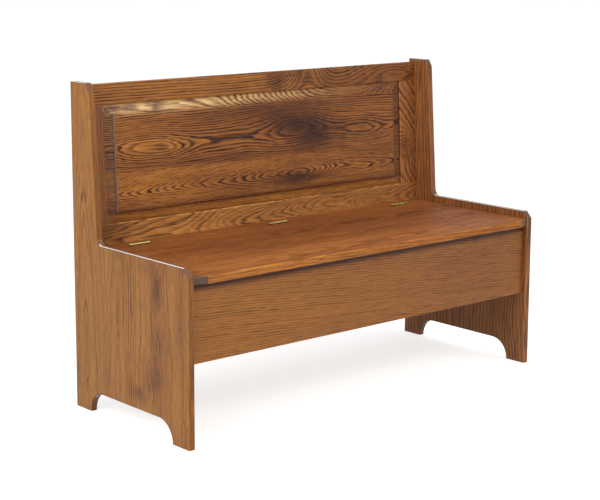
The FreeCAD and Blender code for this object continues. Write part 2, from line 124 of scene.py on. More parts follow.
def per_metre(size_mm):
    """A noise scale along, across and through the grain, from the length and width of its marks."""
    length, width = size_mm
    return (1 / (length * MM), 1 / (width * MM), 1 / (width * MM))


print("marks of 100 x 2 mm come", per_metre((100.0, 2.0)), "times in a metre")

# %% [markdown]
# ## Oak as it grows
# Oak shows its year rings as dark porous lines, because the stain gathers in the open pores
# of the spring wood and leaves the dense summer wood light.
# A flat picture of grain would break at every edge, so the rings are worked out in the solid:
# a board is a slab cut from a log whose rings are long nested tubes around a pith.
# The distance from that pith, times the rings in a metre, counts the rings.
# A log tapers away from its thickest place, which draws the pointed arches on a flat-sawn board.
# Slow noise lets the tubes wander, as a real trunk does.
# Swirls are places where the trunk bulged around a branch. They close the rings into eyes.

# %% Lay each board along its grain
GRAIN_AXES = {
    "level, facing up": (0, 1, 2),
    "level, facing the front": (0, 2, 1),
    "upright, facing the side": (2, 1, 0),
    "upright, facing the front": (2, 0, 1),
}


def board_space(tree, lie):
    """The point on the bench as (along the grain, across the board, through the board)."""
    where = add(tree, "ShaderNodeTexCoord")
    split = add(tree, "ShaderNodeSeparateXYZ", {0: where.outputs["Object"]})
    turned = {i: split.outputs[axis] for i, axis in enumerate(GRAIN_AXES[lie])}
    return add(tree, "ShaderNodeCombineXYZ", turned)


print("four ways for a board to lie:", ", ".join(GRAIN_AXES))

# %% Tell the boards of a panel apart
LOWEST = -1.0       # metres: the first board's edge, where no other board lies before it
FAR = 5.0           # metres: a thickest place so far off that the taper is even


def board_by_board(tree, across, boards):
    """Which log each board of a glued-up panel comes from. A board is its lower edge in metres and
    the log's pith (across, through, lean), its shape (thickest place, taper, wander), and
    its growth (rings in a metre, seed, tone)."""
    chosen = [add(tree, "ShaderNodeCombineXYZ", dict(enumerate(part))).outputs[0] for part in boards[0][1:]]
    for lower_edge, *parts in boards[1:]:
        beyond = add(tree, "ShaderNodeMath", {0: across, 1: lower_edge}, operation="GREATER_THAN")
        for i, part in enumerate(parts):
            mixed = add(tree, "ShaderNodeMix", {0: beyond, 4: chosen[i], 5: part}, data_type="VECTOR")
            chosen[i] = mixed.outputs[1]
    return [add(tree, "ShaderNodeSeparateXYZ", {0: part}).outputs for part in chosen]


print("a straight log is thickest", FAR, "m away")

# %% Mark a place on a board
FRAY_MM = 45.45
FRAY_PUSH = (0.08, 0.024, 0.0)      # metres along and across


def bulge(tree, place, centre, reach):
    """One at a place on the board, falling to nothing within its reach along and across."""
    apart = add(tree, "ShaderNodeVectorMath", {0: place, 1: (*centre, 0.0)}, operation="SUBTRACT")
    shares = (1 / reach[0], 1 / reach[1], 0.0)
    scaled = add(tree, "ShaderNodeVectorMath", {0: apart, 1: shares}, operation="MULTIPLY")
    square = add(tree, "ShaderNodeVectorMath", {0: scaled, 1: scaled}, operation="DOT_PRODUCT")
    return add(tree, "ShaderNodeMath", {0: math.exp(-1.0), 1: square.outputs["Value"]}, operation="POWER")


def frayed(tree, place):
    """The place pushed about by noise, which tears the edge of a stain into wisps."""
    noise = add(tree, "ShaderNodeTexNoise", {"Vector": place, "Scale": 1 / (FRAY_MM * MM), "Detail": 3.0})
    centred = add(tree, "ShaderNodeVectorMath", {0: noise.outputs["Color"], 1: MIDDLE}, operation="SUBTRACT")
    pushed = add(tree, "ShaderNodeVectorMath", {0: centred, 1: FRAY_PUSH}, operation="MULTIPLY")
    return add(tree, "ShaderNodeVectorMath", {0: place, 1: pushed}, operation="ADD")


print("a stain's edge is torn every", FRAY_MM, "mm")

# %% Let the trunk wander
WANDER_MM = (222.22, 111.11)


def wander(tree, place, how_far, seed):
    """How far the trunk strays from straight at each point, in metres."""
    slow = add(tree, "ShaderNodeVectorMath", {0: place, 1: per_metre(WANDER_MM)}, operation="MULTIPLY")
    bend = add(tree, "ShaderNodeTexNoise", {"Vector": slow, "W": seed, "Scale": 1.0, "Detail": 2.0},
               noise_dimensions="4D")
    centred = add(tree, "ShaderNodeVectorMath", {0: bend.outputs["Color"], 1: MIDDLE}, operation="SUBTRACT")
    return add(tree, "ShaderNodeVectorMath", {0: centred, "Scale": how_far}, operation="SCALE")


print("a trunk bends about every", WANDER_MM[0], "mm")

# %% Count the rings of a board
BLUNT = 0.04        # metres over which an arch is round at its tip
FIBRE_MM = (110.0, 4.0)         # a torn edge of a ring, along and across the grain
RAGGED = 0.7        # rings that such a tear reaches


def ring_count(tree, place, log, swirls):
    """How many rings lie between the pith and each point of the board. A swirl is its centre, its
    size and the rings that it adds, and it may stay above a lower edge."""
    pith, shape, growth = log
    split = add(tree, "ShaderNodeSeparateXYZ", {0: place})
    along, across = split.outputs[0], split.outputs[1]
    pith_across = add(tree, "ShaderNodeMath", {0: along, 1: pith[2], 2: pith[0]}, operation="MULTIPLY_ADD")
    pith_line = add(tree, "ShaderNodeCombineXYZ", {1: pith_across, 2: pith[1]})
    from_pith = add(tree, "ShaderNodeVectorMath", {0: place, 1: pith_line}, operation="SUBTRACT")
    drift = wander(tree, place, shape[2], growth[1])
    bent = add(tree, "ShaderNodeVectorMath", {0: from_pith, 1: drift}, operation="ADD")
    ring_plane = add(tree, "ShaderNodeVectorMath", {0: bent, 1: (0.0, 1.0, 1.0)}, operation="MULTIPLY")
    radius = add(tree, "ShaderNodeVectorMath", {0: ring_plane}, operation="LENGTH").outputs["Value"]

    from_thickest = add(tree, "ShaderNodeMath", {0: along, 1: shape[0]}, operation="SUBTRACT")
    squared = add(tree, "ShaderNodeMath", {0: from_thickest, 1: from_thickest, 2: BLUNT * BLUNT},
                  operation="MULTIPLY_ADD")
    reach = add(tree, "ShaderNodeMath", {0: squared}, operation="SQRT")
    tapered = add(tree, "ShaderNodeMath", {0: reach, 1: shape[1], 2: radius}, operation="MULTIPLY_ADD")
    count = add(tree, "ShaderNodeMath", {0: tapered, 1: growth[0], 2: growth[1]}, operation="MULTIPLY_ADD")

    moved = add(tree, "ShaderNodeVectorMath", {0: place, 1: drift}, operation="ADD")
    for centre, size, rings, *lower_edge in swirls:
        eye = bulge(tree, moved, centre, size)
        if lower_edge:
            there = add(tree, "ShaderNodeMath", {0: across, 1: lower_edge[0]}, operation="GREATER_THAN")
            eye = add(tree, "ShaderNodeMath", {0: eye, 1: there}, operation="MULTIPLY")
        count = add(tree, "ShaderNodeMath", {0: eye, 1: rings, 2: count}, operation="MULTIPLY_ADD")

    fibre = add(tree, "ShaderNodeVectorMath", {0: place, 1: per_metre(FIBRE_MM)}, operation="MULTIPLY")
    torn = add(tree, "ShaderNodeTexNoise", {"Vector": fibre, "Scale": 1.0, "Detail": 2.0})
    return add(tree, "ShaderNodeMath", {0: torn, 1: RAGGED, 2: count}, operation="MULTIPLY_ADD")


print("a torn ring edge is", FIBRE_MM, "mm along and across")

# %% [markdown]
# ## The lines that the eye sees
# Within one ring the spring wood starts at once and fades out slowly, so the dark line has one
# hard and one soft side. Some years grew darker than others.
# Pores are grooves of a fifth of a millimetre that run with the grain. They are too fine for a
# picture of the whole bench, so they are drawn about two millimetres apart, as the streaks that
# the eye makes of them. They break up the lines and leave faint fibres between them.

# %% Draw the rings as lines
SPRING_WOOD = ((0.0, 1.0), (0.25, 0.85), (0.5, 0.2), (0.78, 0.0), (0.92, 0.1), (1.0, 1.0))
PORE_MM = (70.0, 2.2)
PORE_NOISE = (0.35, 0.6)        # the part of the noise that breaks a line
PORE_BREAK = 0.5        # what a broken line keeps
FIBRE_NOISE = (0.45, 0.75)      # the part of the noise that shows as fibres between the lines
FIBRE_DARK = 0.35


def ring_lines(tree, count, palest_year):
    """The dark spring wood of each ring, as a number from nothing to one."""
    within = add(tree, "ShaderNodeMath", {0: count}, operation="FRACT")
    year = add(tree, "ShaderNodeMath", {0: count}, operation="FLOOR")
    luck = add(tree, "ShaderNodeTexWhiteNoise", {"W": year}, noise_dimensions="1D")
    profile = add(tree, "ShaderNodeValToRGB", {0: within})
    stops = profile.color_ramp.elements
    for position, level in SPRING_WOOD:
        if position in (0.0, 1.0):
            stop = stops[0] if position == 0.0 else stops[-1]
        else:
            stop = stops.new(position)
        stop.color = (level, level, level, 1.0)
    strength = add(tree, "ShaderNodeMapRange", {"Value": luck, "To Min": palest_year})
    return add(tree, "ShaderNodeMath", {0: profile, 1: strength}, operation="MULTIPLY")


def grain_of(tree, place, rings, contrast):
    """The rings broken by pores, with faint fibres between them."""
    stretched = add(tree, "ShaderNodeVectorMath", {0: place, 1: per_metre(PORE_MM)}, operation="MULTIPLY")
    streak = add(tree, "ShaderNodeTexNoise",
                 {"Vector": stretched, "Scale": 1.0, "Detail": 3.0, "Roughness": 0.6})
    pores = add(tree, "ShaderNodeMapRange", {
        "Value": streak, "From Min": PORE_NOISE[0], "From Max": PORE_NOISE[1], "To Min": PORE_BREAK,
    })
    lined = add(tree, "ShaderNodeMath", {0: rings, 1: pores}, operation="MULTIPLY")
    fibres = add(tree, "ShaderNodeMapRange", {
        "Value": streak, "From Min": FIBRE_NOISE[0], "From Max": FIBRE_NOISE[1], "To Max": FIBRE_DARK,
    })
    return add(tree, "ShaderNodeMath", {0: lined, 1: contrast, 2: fibres}, operation="MULTIPLY_ADD",
               use_clamp=True)


print("pores are drawn", PORE_MM[1], "mm apart")

# %% Drown the rings round a knot
KNOT_GRAIN = 0.72


def drown(tree, torn, grain, knots):
    """The wood round a knot took the stain all over, so its rings are lost in it. A knot is its
    centre, its size and how far the rings are lost."""
    for centre, size, share in knots:
        inside = bulge(tree, torn, centre, size)
        lost = add(tree, "ShaderNodeMath", {0: inside, 1: share}, operation="MULTIPLY", use_clamp=True)
        grain = add(tree, "ShaderNodeMix", {0: lost, 2: grain, 3: KNOT_GRAIN}, data_type="FLOAT")
    return grain


print("a knot is as dark as", KNOT_GRAIN, "of a ring's line")

# %% [markdown]
# ## Stain
# A finisher wipes stain on by hand. It takes in clouds as long as a forearm, in short flecks, and
# in patches where the grain stands up. Edges drink more of it. Some patches and lines are painted
# light and shade: a painted shadow under the lid's nose and under the field's foot, and painted
# light on the lid's nose and on the panel's lowest bevel. The arrises get a painted highlight,
# some edges are painted lighter, and pale wood with a painted sheen shows on the panel's bevels.
# Each of these is a tone near one, and the tones are multiplied onto the wood.

# %% Clouds, flecks and patches
CLOUD_MM = (330.0, 70.0)
FLECK_MM = (28.0, 7.0)
NOISE_LOW, NOISE_HIGH = 0.3, 0.7        # a noise spends nearly all its length between these
ENDLESS = 1000.0        # metres: a line's reach along the board


def wood_tone(tree, place, growth, shade, fleck):
    """Clouds and flecks of darker and lighter wood, times the tone of the board."""
    cloud_space = add(tree, "ShaderNodeVectorMath", {0: place, 1: per_metre(CLOUD_MM)}, operation="MULTIPLY")
    clouds = add(tree, "ShaderNodeTexNoise",
                 {"Vector": cloud_space, "W": growth[1], "Scale": 1.0, "Detail": 3.0}, noise_dimensions="4D")
    fleck_space = add(tree, "ShaderNodeVectorMath", {0: place, 1: per_metre(FLECK_MM)}, operation="MULTIPLY")
    flecks = add(tree, "ShaderNodeTexNoise", {"Vector": fleck_space, "Scale": 1.0, "Detail": 2.0})
    tone = growth[2]
    for noise, depth in ((clouds, shade), (flecks, fleck)):
        level = add(tree, "ShaderNodeMapRange", {
            "Value": noise, "From Min": NOISE_LOW, "From Max": NOISE_HIGH,
            "To Min": 1.0 - depth, "To Max": 1.0 + depth,
        })
        tone = add(tree, "ShaderNodeMath", {0: tone, 1: level}, operation="MULTIPLY")
    return tone


def stain_and_painted_light(tree, tone, place, torn, patches, lines):
    """Stain, and also painted shade and painted highlights. Patches are a centre, a size and a depth,
    and lines a place across, a width and a depth. A depth under nothing darkens the tone."""
    marks = [(bulge(tree, torn, centre, size), depth) for centre, size, depth in patches]
    for across, width, depth in lines:
        marks.append((bulge(tree, place, (0.0, across), (ENDLESS, width)), depth))
    for mark, depth in marks:
        kept = add(tree, "ShaderNodeMath", {0: mark, 1: depth, 2: 1.0}, operation="MULTIPLY_ADD")
        tone = add(tree, "ShaderNodeMath", {0: tone, 1: kept}, operation="MULTIPLY")
    return tone


print("clouds of", CLOUD_MM, "mm and flecks of", FLECK_MM, "mm")

# %% Dark edges, and painted highlights on arrises and edges
ARRIS_HIGHLIGHT = 0.4          # how much lighter an arris is painted, as a highlight
EDGE_FROM = 0.9     # how far a surface faces across the board where its edge begins
ARRIS_IN, ARRIS_FULL = 0.42, 0.60       # the same where the rounding gets the painted highlight
ARRIS_FADE, ARRIS_OUT = 0.80, 0.95      # and where it turns into the edge


def edge_tone_and_highlight(tree, tone, facing_across, edge):
    """The tone at edges and arrises. An edge faces across the board; edge under one darkens it as stain,
    over one brightens it as painted light. An arris, rounded between edge and face, gets a painted highlight."""
    turned = add(tree, "ShaderNodeMath", {0: facing_across}, operation="ABSOLUTE")
    edge_tone = add(tree, "ShaderNodeMapRange",
                    {"Value": turned, "From Min": EDGE_FROM, "To Min": 1.0, "To Max": edge})
    onto = add(tree, "ShaderNodeMapRange",
               {"Value": turned, "From Min": ARRIS_IN, "From Max": ARRIS_FULL, "To Max": ARRIS_HIGHLIGHT})
    off = add(tree, "ShaderNodeMapRange",
              {"Value": turned, "From Min": ARRIS_FADE, "From Max": ARRIS_OUT, "To Min": 1.0, "To Max": 0.0})
    tarnish_and_highlight = add(tree, "ShaderNodeMath", {0: onto, 1: off, 2: 1.0}, operation="MULTIPLY_ADD")
    tone = add(tree, "ShaderNodeMath", {0: tone, 1: edge_tone}, operation="MULTIPLY")
    return add(tree, "ShaderNodeMath", {0: tone, 1: tarnish_and_highlight}, operation="MULTIPLY")


print("an arris is worn", ARRIS_HIGHLIGHT, "lighter")

# %% Colour the wood
# Pale wood for the panel's bevels: partly real pale wood, partly a painted sheen.
PALE_SHEEN_LIGHT = "#f3cd92"
PALE_SHEEN_DARK = "#8a6238"
REDDENING = 1.2         # darker wood keeps less of its green, which makes it redder
FACES_FRONT, FACES_AWAY = -0.6, -0.2        # how far a surface faces to the back of the bench


def wood_colour(tree, place, facing_back, grain, tone, light, dark, pale_and_sheen):
    """Light summer wood and dark spring wood, by the grain and the tone. Pale places are a centre,
    a size and a share, and lie on front faces only: pale wood, partly a painted sheen."""
    front = add(tree, "ShaderNodeMapRange", {
        "Value": facing_back, "From Min": FACES_FRONT, "From Max": FACES_AWAY, "To Min": 1.0, "To Max": 0.0,
    })
    woods = [linear(light), linear(dark)]
    for centre, size, share in pale_and_sheen:
        near = bulge(tree, place, centre, size)
        pale_share = add(tree, "ShaderNodeMath", {0: near, 1: share}, operation="MULTIPLY", use_clamp=True)
        amount = add(tree, "ShaderNodeMath", {0: pale_share, 1: front}, operation="MULTIPLY")
        for i, pale in enumerate((PALE_SHEEN_LIGHT, PALE_SHEEN_DARK)):
            mixed = add(tree, "ShaderNodeMix", {0: amount, 6: woods[i], 7: linear(pale)}, data_type="RGBA")
            woods[i] = mixed.outputs[2]
    wood = add(tree, "ShaderNodeMix", {0: grain, 6: woods[0], 7: woods[1]}, data_type="RGBA").outputs[2]
    green = add(tree, "ShaderNodeMath", {0: tone, 1: REDDENING}, operation="POWER")
    dye = add(tree, "ShaderNodeCombineXYZ", {0: tone, 1: green, 2: tone})
    return add(tree, "ShaderNodeVectorMath", {0: wood, 1: dye}, operation="MULTIPLY")


print("bare oak is", [round(c, 3) for c in linear(PALE_SHEEN_LIGHT)[:3]])

# %% [markdown]
# ## End grain and lacquer
# End grain drinks the stain and turns dark and grey, and a slanted cut shows some of it. A square
# cut is mostly given a pale colour, a painted highlight. The face's own direction tells the shader how much.
# On the arm of an end panel only the outer rim of the cut is painted pale, a thin bright line of painted
# highlight.
# Satin lacquer is a clear coat over it all. It sinks into the pores, which are duller and lower.

# %% Cut across the grain
RIM_MM = 7.0
SLANTED, SQUARE = 0.72, 0.95        # how far such a cut faces along the grain
PORED = 0.6         # what a cut pore keeps of its light


def end_grain(tree, place, ends, grain, slanted, square, rim):
    """The colour of a cut across the grain. A rim is the place through the board that stays pale, as a
    painted highlight.
    """
    squareness = add(tree, "ShaderNodeMapRange", {"Value": ends, "From Min": SLANTED, "From Max": SQUARE})
    cut = add(tree, "ShaderNodeMix", {0: squareness, 6: linear(slanted), 7: linear(square)},
              data_type="RGBA").outputs[2]
    if rim is not None:
        through = add(tree, "ShaderNodeSeparateXYZ", {0: place}).outputs[2]
        apart = add(tree, "ShaderNodeMath", {0: through, 1: rim}, operation="SUBTRACT")
        inwards = add(tree, "ShaderNodeMath", {0: apart}, operation="ABSOLUTE")
        inner = add(tree, "ShaderNodeMapRange",
                    {"Value": inwards, "From Min": RIM_MM * MM * 0.8, "From Max": RIM_MM * MM * 1.2})
        cut = add(tree, "ShaderNodeMix", {0: inner, 6: cut, 7: linear(slanted)}, data_type="RGBA").outputs[2]
    pored = add(tree, "ShaderNodeMapRange", {"Value": grain, "To Min": 1.0, "To Max": PORED})
    return add(tree, "ShaderNodeVectorMath", {0: cut, "Scale": pored}, operation="SCALE")


print("the bright rim of a cut is", RIM_MM, "mm wide")

# %% Lacquer the wood
PORE_DEPTH_MM = 0.3
PORE_RELIEF = 0.3       # how much of that depth the lacquer leaves
DULL_PORES = 0.15       # how much rougher a pore is than the wood round it
COAT_ROUGHNESS = 0.18


def lacquer(tree, surface, grain, rough, coat, shine):
    """Satin lacquer, which is duller and a little lower in the pores."""
    gloss = add(tree, "ShaderNodeMapRange", {"Value": grain, "To Min": rough, "To Max": rough + DULL_PORES})
    tree.links.new(gloss.outputs[0], surface.inputs["Roughness"])
    bump = add(tree, "ShaderNodeBump",
               {"Height": grain, "Strength": PORE_RELIEF, "Distance": PORE_DEPTH_MM * MM}, invert=True)
    tree.links.new(bump.outputs[0], surface.inputs["Normal"])
    surface.inputs["Coat Weight"].default_value = coat
    surface.inputs["Coat Roughness"].default_value = COAT_ROUGHNESS
    surface.inputs["Specular IOR Level"].default_value = shine


print("pores are", PORE_DEPTH_MM, "mm deep")

# %% Stained oak, all together
CUT_IN, CUT_FULL = 0.02, 0.32       # how far a surface faces along the grain where end grain shows
CUT_SHARE = 0.95        # how much of the face's own wood a full cut hides


# By default end_square is pale, a painted highlight on square-cut ends.
def stained_oak(name, lie, light, dark, boards, swirls=(), patches=(), lines=(), knots=(), pale_and_sheen=(),
                contrast=1.0, palest_year=0.45, shade=0.12, fleck=0.12, edge=0.74,
                end_slanted="#654735", end_square="#c4b6a6", rim=None, rough=0.45, coat=0.08, shine=0.2):
    """Sawn and planed oak, given a brown stain by hand and sprayed with satin lacquer: warm, with dark
    porous lines, and a soft sheen that never turns into a mirror. Some of its marks are painted light and
    shade."""
    material = bpy.data.materials.new(name)
    material.use_nodes = True
    tree = material.node_tree
    surface = tree.nodes["Principled BSDF"]
    along_axis, across_axis, _ = GRAIN_AXES[lie]

    place = board_space(tree, lie)
    across = add(tree, "ShaderNodeSeparateXYZ", {0: place}).outputs[1]
    log = board_by_board(tree, across, boards)
    rings = ring_lines(tree, ring_count(tree, place, log, swirls), palest_year)
    torn = frayed(tree, place)
    grain = drown(tree, torn, grain_of(tree, place, rings, contrast), knots)

    facing = add(tree, "ShaderNodeTexCoord")
    normal = add(tree, "ShaderNodeSeparateXYZ", {0: facing.outputs["Normal"]})
    tone = wood_tone(tree, place, log[2], shade, fleck)
    tone = stain_and_painted_light(tree, tone, place, torn, patches, lines)
    tone = edge_tone_and_highlight(tree, tone, normal.outputs[across_axis], edge)
    wood = wood_colour(tree, place, normal.outputs[1], grain, tone, light, dark, pale_and_sheen)

    ends = add(tree, "ShaderNodeMath", {0: normal.outputs[along_axis]}, operation="ABSOLUTE")
    cut = end_grain(tree, place, ends, grain, end_slanted, end_square, rim)
    cut_share = add(tree, "ShaderNodeMapRange",
                    {"Value": ends, "From Min": CUT_IN, "From Max": CUT_FULL, "To Max": CUT_SHARE})
    colour = add(tree, "ShaderNodeMix", {0: cut_share, 6: wood, 7: cut}, data_type="RGBA").outputs[2]
    tree.links.new(colour, surface.inputs["Base Color"])
    lacquer(tree, surface, grain, rough, coat, shine)
    return material


def finish(material, *names):
    """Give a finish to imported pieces, in place of what they came with."""
    for name in names:
        mesh = nodes[name].data
        mesh.materials.clear()
        mesh.materials.append(material)
    print(material.name, "on", len(names), "pieces,", len(material.node_tree.nodes), "nodes")


print("a full cut hides", CUT_SHARE, "of the face's wood")

# %% [markdown]
# ## The end panels
# Each end is glued up from upright boards. The front board is mottled round a small knot, the
# next is plain, and the two behind show tall narrow arches.
# The left end is drawn board by board. The right end is another set of boards from the same logs.
# Every line could be painted by hand. It is enough to say where each board's pith lay and how
# its log tapers, because the rings follow from that, on the edges too. Swirls then bend them.

# %% Choose the boards of the ends
outer_face = cad_high.x
end_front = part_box("left_end_panel")[0].y


def end_boards(side, seed, fine=1.0):
    """The four boards of an end, from the front to the back, with rings counted from its outer face."""
    face = side * outer_face
    return [
        (LOWEST, (-0.030, face - side * 0.080, 0.0), (-FAR, 0.020, 0.050), (130.0 * fine, 3.1 + seed, 0.97)),
        (-0.083, (-0.55, face - side * 0.20, 0.0), (-FAR, 0.004, 0.020), (110.0 * fine, 7.7 + seed, 1.0)),
        (0.030, (0.055, face - side * 0.010, 0.0), (-FAR, 0.060, 0.020), (120.0 * fine, 1.3 + seed, 1.0)),
        (0.095, (0.195, face - side * 0.020, 0.0), (-FAR, 0.055, 0.026), (115.0 * fine, 5.2 + seed, 1.0)),
    ]


knot_and_arches = [
    ((0.363, -0.113), (0.045, 0.018), 3.0),
    ((0.150, -0.080), (0.060, 0.040), -2.0),
    ((0.140, 0.055), (0.170, 0.020), -4.5),
    ((0.200, 0.198), (0.180, 0.022), -4.5),
]
mottle = [
    ((0.363, -0.113), (0.040, 0.018), -0.55),
    ((0.235, -0.120), (0.045, 0.040), -0.30),
    ((0.150, -0.100), (0.035, 0.045), -0.45),
    ((0.100, -0.030), (0.025, 0.035), -0.40),
    ((0.300, -0.200), (0.120, 0.020), -0.20),
    ((0.420, -0.090), (0.030, 0.080), -0.20),
    ((0.270, 0.053), (0.060, 0.008), -0.40),
]
print("boards in an end:", len(end_boards(1, 0.0)))

# %% Finish the end panels
finish(
    stained_oak("stained_oak_left_end", "upright, facing the side", "#a97033", "#5c3517",
                end_boards(-1, 0.0), swirls=knot_and_arches, patches=mottle,
                lines=[(end_front - 0.016, 0.010, -0.4)], contrast=0.95, palest_year=0.0, shade=0.10,
                # The near-white end_square on the outer rim of the cut is a painted highlight on the arm's
                # top.
                end_slanted="#7a5238", end_square="#fff4ec", rim=-outer_face, coat=0.1),
    "left_end_panel",
)
finish(
    stained_oak("stained_oak_right_end", "upright, facing the side", "#a86d3c", "#46271a",
                end_boards(1, 2.6, 0.7), contrast=0.9, shade=0.10, coat=0.1),
    "right_end_panel",
)

# %% [markdown]
# ## The back
# The frame's rails and stiles are single boards, cut from livelier wood than the ends.
# The top rail is nearly straight-grained at the left, and at the right two bulges above its edge
# bend the rings into arcs.
# The bottom rail was sawn just under the pith, so long flames lie along it.
# The right stile has slanting hooks round a small knot near its foot.
# One log for the whole frame would be quicker, but a joiner picks rails and stiles from
# different boards, and the corners of a frame show it: the grain turns and changes there.

# %% Finish the rails of the back
frame_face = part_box("back_bottom_rail")[0].y + 0.012        # the middle height of the leaning front
finish(
    stained_oak("stained_oak_top_rail", "level, facing the front", "#b07030", "#3d2011",
                [(LOWEST, (0.55, frame_face + 0.10, 0.0), (-FAR, 0.003, 0.012), (145.0, 2.0, 1.0))],
                swirls=[((0.165, 0.870), (0.075, 0.080), -11.0), ((0.480, 0.885), (0.190, 0.090), -10.0),
                        ((0.560, 0.808), (0.160, 0.022), -2.5)],
                patches=[((0.05, 0.81), (0.035, 0.05), -0.5), ((0.135, 0.83), (0.035, 0.03), -0.5),
                         ((0.235, 0.80), (0.05, 0.03), -0.25), ((0.42, 0.81), (0.30, 0.10), -0.40),
                         ((-0.35, 0.81), (0.40, 0.20), -0.03)],
                contrast=1.3),
    "back_top_rail",
)
finish(
    stained_oak("stained_oak_bottom_rail", "level, facing the front", "#bb7d40", "#3d2012",
                [(LOWEST, (0.436, frame_face + 0.004, 0.0), (FAR, 0.16, 0.05), (125.0, 4.0, 1.0))],
                swirls=[((0.387, 0.440), (0.060, 0.016), -3.0), ((-0.280, 0.450), (0.120, 0.030), 2.5),
                        ((0.200, 0.455), (0.090, 0.030), -2.0)],
                patches=[((-0.56, 0.455), (0.08, 0.04), -0.5), ((-0.40, 0.433), (0.16, 0.014), 0.25),
                         ((0.45, 0.45), (0.25, 0.06), -0.15)],
                contrast=0.9),
    "back_bottom_rail",
)

# %% Finish the stiles of the back
stile_knot = (0.585, 0.545)
finish(
    stained_oak("stained_oak_stiles", "upright, facing the front", "#a86a39", "#371b10",
                [(LOWEST, (-0.80, frame_face + 0.10, 0.0), (-FAR, 0.01, 0.02), (190.0, 6.0, 0.86)),
                 (0.0, (0.500, frame_face + 0.020, 0.0), (-FAR, 0.75, 0.03), (48.0, 6.0, 1.05))],
                swirls=[(stile_knot, (0.040, 0.022), -4.0)],
                patches=[(stile_knot, (0.03, 0.02), -0.5)]),
    "back_left_stile", "back_right_stile",
)

# %% [markdown]
# ## The raised panel
# The panel is the liveliest piece: two wide boards with a level glue line between them.
# The upper one has two long eyes with a smoky knot between them, under a dark straight-grained
# band. The lower one has pointed arches that run both ways from a second knot.
# The bevel along the top is planed right across the rings, so it shows pale wood with dark
# slanting stripes; its paleness is partly a painted sheen. It is drawn as a board of its own.

# %% Choose the boards of the raised panel
GLUE_LINE = 0.602
BEVEL_LINE = 0.7525
FIELD_FOOT = 0.503
FOOT_BEVEL = 0.486
panel_boards = [
    (LOWEST, (0.548, frame_face + 0.009, 0.0), (0.135, 0.095, 0.016), (340.0, 1.0, 1.0)),
    (GLUE_LINE, (0.662, frame_face + 0.030, 0.0), (-FAR, 0.002, 0.026), (160.0, 9.0, 0.92)),
    (BEVEL_LINE, (0.766, frame_face + 0.080, 0.0), (-FAR, 0.0, 0.015), (230.0, 4.4, 1.0)),
]
eyes = [
    ((-0.390, 0.662), (0.130, 0.048), -5.0),
    ((0.110, 0.682), (0.110, 0.060), -4.2),
    ((0.370, 0.652), (0.110, 0.024), -3.0),
    ((0.270, 0.490), (0.090, 0.060), 10.0),
]
bevel_stripes = [
    ((0.300, 0.915), (0.350, 0.350), -24.0, BEVEL_LINE),
    ((0.450, 0.800), (0.220, 0.035), -4.0, BEVEL_LINE),
]
print("panel boards meet at", GLUE_LINE, "and", BEVEL_LINE, "m")

# %% Stain the raised panel
field_stains = [
    ((0.020, 0.738), (0.270, 0.022), -0.50),
    ((0.100, 0.690), (0.110, 0.040), -0.62),
    ((0.185, 0.648), (0.085, 0.040), -0.66),
    ((-0.100, 0.614), (0.500, 0.012), -0.30),
    ((0.125, 0.534), (0.095, 0.018), -0.72),
    ((-0.330, 0.586), (0.260, 0.016), 0.30),
    ((-0.400, 0.548), (0.140, 0.040), 0.20),
    ((-0.380, 0.672), (0.200, 0.040), 0.20),
    ((0.300, 0.720), (0.500, 0.100), -0.15),
]
bevel_stains = [
    ((-0.500, 0.766), (0.020, 0.014), -0.50),
    ((-0.442, 0.768), (0.024, 0.012), -0.60),
    ((-0.360, 0.765), (0.020, 0.014), -0.65),
    ((0.430, 0.769), (0.200, 0.014), -0.25),
    ((-0.290, 0.767), (0.150, 0.014), 0.15),
]
smoky_knots = [
    ((0.105, 0.684), (0.085, 0.030), 0.85),
    ((0.190, 0.650), (0.055, 0.026), 0.55),
    ((0.110, 0.532), (0.050, 0.014), 0.50),
]
# Pale bevels: partly pale wood, partly a painted sheen; the last one is painted light on the bottom bevel.
pale_sheen_bevels = [
    ((-0.420, 0.768), (0.240, 0.014), 1.0),
    ((-0.050, 0.768), (0.280, 0.014), 0.5),
    ((0.0, FOOT_BEVEL + 0.001), (1.0, 0.010), 0.05),
]
finish(
    stained_oak("stained_oak_panel", "level, facing the front", "#ae6c2d", "#321810", panel_boards,
                swirls=eyes + bevel_stripes, patches=field_stains + bevel_stains,
                # The dark line at the field's foot is a painted shadow under its lower step; the light line
                # below is painted light on a bevel that faces down.
                lines=[(FIELD_FOOT, 0.007, -0.45), (FOOT_BEVEL, 0.010, 0.30)],
                # edge=1.4 brightens the faces of the steps as a painted highlight.
                knots=smoky_knots, pale_and_sheen=pale_sheen_bevels, contrast=1.5, shade=0.26, edge=1.4,
                # The pale blue end_square is a painted reflection on the field's square-cut step.
                end_slanted="#60473d", end_square="#ccdcf0"),
    "back_raised_panel",
)

# %% [markdown]
# ## The seat and the apron
# The seat lid and the strip behind it are cut from one glued-up board, so their figure runs on.
# People slide over a seat, and its wood is smooth and even, with only a soft flow of grain.
# The apron is sawn so that the rings meet its face nearly square: fine straight lines that
# slope a little, because the board was not cut quite along the grain. Just under the lid's nose
# a dark line is painted on the apron: a painted shadow of the nose.

